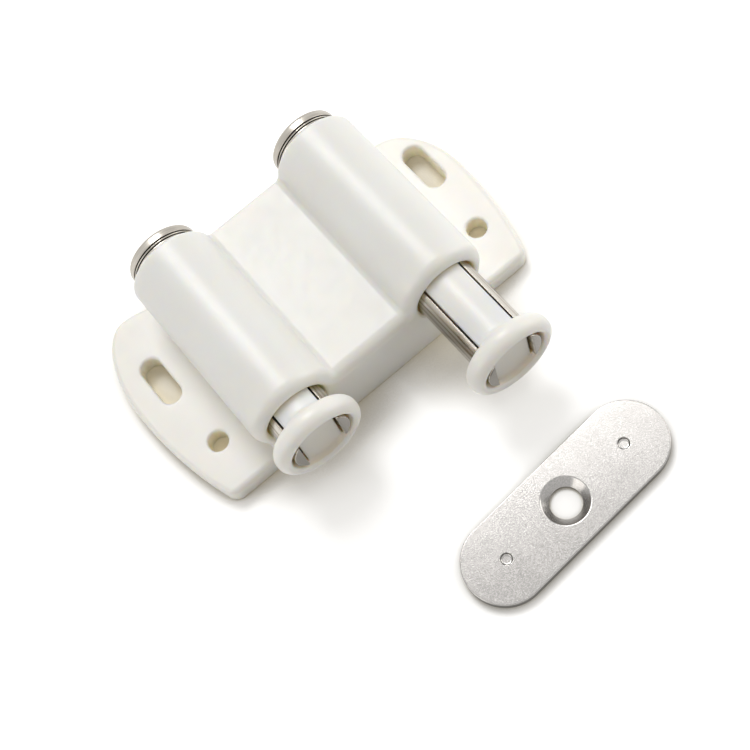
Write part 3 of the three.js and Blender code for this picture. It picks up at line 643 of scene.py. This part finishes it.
strike_made = surface(
    strike,
    (-STRIKE_HALF_LENGTH, -STRIKE_RADIUS, 0),
    (STRIKE_HALF_LENGTH, STRIKE_RADIUS, STRIKE_THICKNESS),
    METAL_STEP,
)
middle = (strike_low + strike_high) / 2
place = Matrix.Translation((middle[0], middle[1], 0)) @ Matrix.Rotation(STRIKE_TURN, 4, "Z")
piece("strike", strike_made, "strike", satin, "strike_plate", place)

kept = {"magnet": magnet_metal, "latch_cam": white, "cam_pin": spring_steel, "latch_wire": spring_steel}
for name, material in kept.items():
    for label in ("left", "right"):
        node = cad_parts[f"{name}_{label}"]
        node.data.materials.clear()
        node.data.materials.append(material)


# Floor, light and camera
def seen_rays(tree):
    """1 for the rays that show the background: from the camera, mirrored or passing through."""
    path = add(tree, "ShaderNodeLightPath").outputs
    inputs = {0: path["Is Camera Ray"], 1: path["Is Glossy Ray"]}
    first = add(tree, "ShaderNodeMath", inputs, operation="MAXIMUM").outputs[0]
    inputs = {0: first, 1: path["Is Transmission Ray"]}
    return add(tree, "ShaderNodeMath", inputs, operation="MAXIMUM").outputs[0]


FLOOR_SIZE = 3.0
FLOOR_DROP = 0.0002
floor_mesh = bpy.data.meshes.new("floor")
half = FLOOR_SIZE / 2
corners = [(-half, -half, 0), (half, -half, 0), (half, half, 0), (-half, half, 0)]
floor_mesh.from_pydata(corners, [], [(0, 1, 2, 3)])
floor = bpy.data.objects.new("floor", floor_mesh)
floor.location.z = -FLOOR_DROP
bpy.context.scene.collection.objects.link(floor)

floor_paint = bpy.data.materials.new("floor_paint")
floor_paint.use_nodes = True
tree = floor_paint.node_tree
shader = tree.nodes["Principled BSDF"]
# Painted shadow and bounce: the floor darkens where the parts close it in, and turns warm tan deep inside
# their holes.
closed = add(tree, "ShaderNodeAmbientOcclusion", {"Distance": 0.015}, samples=8).outputs["AO"]
under, shaded, clear = (0.96, 0.88, 0.68), (0.70, 0.685, 0.65), (0.90, 0.905, 0.91)
paint = ramp(tree, closed, (0.15, under), (0.5, shaded), (0.85, clear))
tree.links.new(paint, shader.inputs["Base Color"])
shader.inputs["Roughness"].default_value = 0.9
shader.inputs["Specular IOR Level"].default_value = 0.0
seen = seen_rays(tree)
# Painted light: for seen rays the floor glows in its own colour by how open it is, lifting its shadows and
# lighting its holes, and it glows fully far away.
lift = ramp(tree, closed, (0.2, 0.12), (0.42, 0.0), (0.58, 0.22), (0.8, 0.46))
away = add(tree, "ShaderNodeTexCoord").outputs["Object"]
distance = add(tree, "ShaderNodeVectorMath", {0: away}, operation="LENGTH").outputs["Value"]
far = ramp(tree, distance, (0.25, 0.0), (0.6, 1.0))
lift = add(tree, "ShaderNodeMath", {0: lift, 1: far}, operation="ADD").outputs[0]
glow = add(tree, "ShaderNodeMath", {0: seen, 1: lift}, operation="MULTIPLY").outputs[0]
emission = add(tree, "ShaderNodeEmission", {"Color": paint, "Strength": glow}).outputs["Emission"]
total = add(tree, "ShaderNodeAddShader", {0: shader.outputs["BSDF"], 1: emission}).outputs["Shader"]
tree.links.new(total, tree.nodes["Material Output"].inputs["Surface"])
floor_mesh.materials.append(floor_paint)

world = bpy.data.worlds.new("studio")
bpy.context.scene.world = world
world.use_nodes = True
tree = world.node_tree
background = tree.nodes["Background"]
sky = mix(tree, seen_rays(tree), (0.29, 0.275, 0.25), (1.0, 1.0, 1.0))
tree.links.new(sky, background.inputs["Color"])


def lamp(name, place, size, power, colour):
    light = bpy.data.lights.new(name, "AREA")
    light.shape = "DISK"
    light.size = size
    light.energy = power
    light.color = colour
    lamp_object = bpy.data.objects.new(name, light)
    lamp_object.location = place
    lamp_object.rotation_euler = (-Vector(place)).to_track_quat("-Z", "Y").to_euler()
    bpy.context.scene.collection.objects.link(lamp_object)


lamp("key", (0.30, 1.20, 1.92), 1.05, 25.0, (1.0, 1.0, 1.0))
lamp("right_fill", (2.30, -0.25, 0.95), 2.0, 24.0, (1.0, 0.985, 0.955))
lamp("left_fill", (-2.30, 0.0, 0.95), 2.0, 15.0, (1.0, 0.975, 0.94))
lamp("accent", (0.72, 0.72, 2.30), 0.6, 1.4, (1.0, 1.0, 1.0))

CAMERA_AZIMUTH = math.radians(-13.34)
CAMERA_ELEVATION = math.radians(65.98)
CAMERA_ROLL = math.radians(-27.48)
CAMERA_DISTANCE = 259.35
CAMERA_TARGET = Vector((-1.155, -17.457, 0))
FOCAL_PIXELS = 1415.7
PICTURE_PIXELS = 750
SENSOR = 36

back = Vector((
    math.sin(CAMERA_AZIMUTH) * math.cos(CAMERA_ELEVATION),
    -math.cos(CAMERA_AZIMUTH) * math.cos(CAMERA_ELEVATION),
    math.sin(CAMERA_ELEVATION),
))
sideways = Vector((0, 0, 1)).cross(back).normalized()
upright = back.cross(sideways)
right = math.cos(CAMERA_ROLL) * sideways + math.sin(CAMERA_ROLL) * upright
up = back.cross(right)
lens = bpy.data.cameras.new("camera")
lens.sensor_width = SENSOR
lens.lens = SENSOR * FOCAL_PIXELS / PICTURE_PIXELS
lens.clip_start = 0.01
camera = bpy.data.objects.new("camera", lens)
camera_at = Matrix.Translation((CAMERA_TARGET + CAMERA_DISTANCE * back) * MM)
camera.matrix_world = camera_at @ Matrix((right, up, back)).transposed().to_4x4()
bpy.context.scene.collection.objects.link(camera)
bpy.context.scene.camera = camera
bpy.context.scene.view_settings.view_transform = "Standard"
